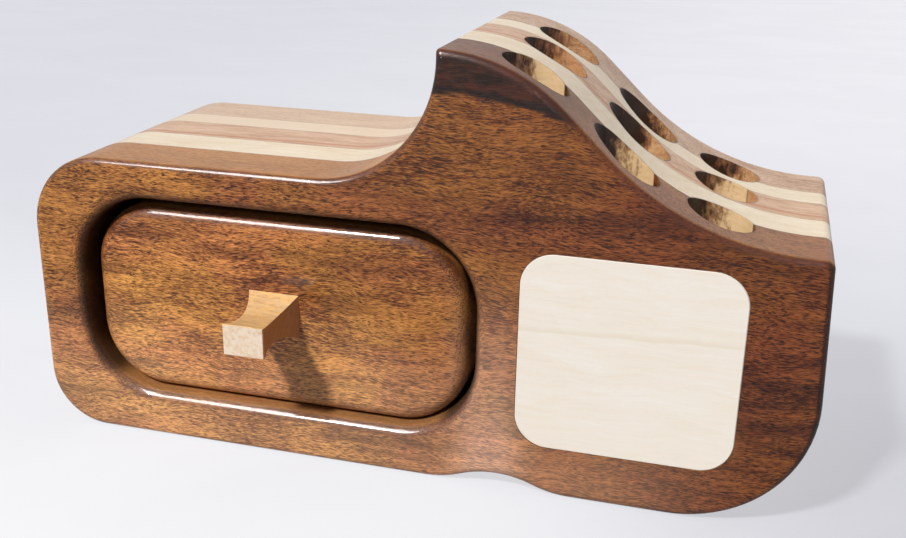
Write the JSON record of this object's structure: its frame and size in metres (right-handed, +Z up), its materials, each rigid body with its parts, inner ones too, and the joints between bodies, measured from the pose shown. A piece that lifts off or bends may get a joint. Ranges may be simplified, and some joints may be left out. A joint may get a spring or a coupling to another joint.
{
  "type": "pen stand with drawer",
  "caption": "Sculpted laminated-wood desk pen stand with upright pen holes in a sloping top, a let-in pale plate and one rounded drawer with a hollow-sided knob.",
  "frame": {"origin": "middle of the footprint on the surface that the stand rests on", "axes": "+Z up, -Y out of the front where the drawer opens, +X towards the pen holes along the length"},
  "size_m": [0.272, 0.1205, 0.1473],
  "materials": {
    "walnut": "dark brown walnut under a glossy clear lacquer",
    "pale_wood": "cream poplar under clear lacquer",
    "middle_wood": "pinkish tan beech under clear lacquer",
    "rear_walnut": "light grey-brown walnut under clear lacquer",
    "plate_wood": "very pale poplar, satin lacquer",
    "knob_wood": "yellowish pale wood, end grain at its face",
    "screw_steel": "zinc-plated countersunk screw"
  },
  "bodies": {
    "stand": {"front_panel": "walnut", "pale_stripe": "pale_wood", "middle_board": "middle_wood", "thin_pale_stripe": "pale_wood", "back_panel": "rear_walnut", "inlay_plate": "plate_wood"},
    "drawer": {"drawer_front": "walnut", "drawer_tray_front": "walnut", "drawer_tray_pale": "pale_wood", "drawer_tray_middle": "middle_wood", "drawer_tray_rear": "pale_wood", "drawer_back": "pale_wood", "drawer_knob": "knob_wood", "knob_screw": "screw_steel"}
  },
  "joints": [
    {"name": "drawer_slide", "type": "slide", "parent": "stand", "child": "drawer", "axis": [0, -1, 0], "range_m": [0, 0.065]}
  ]
}
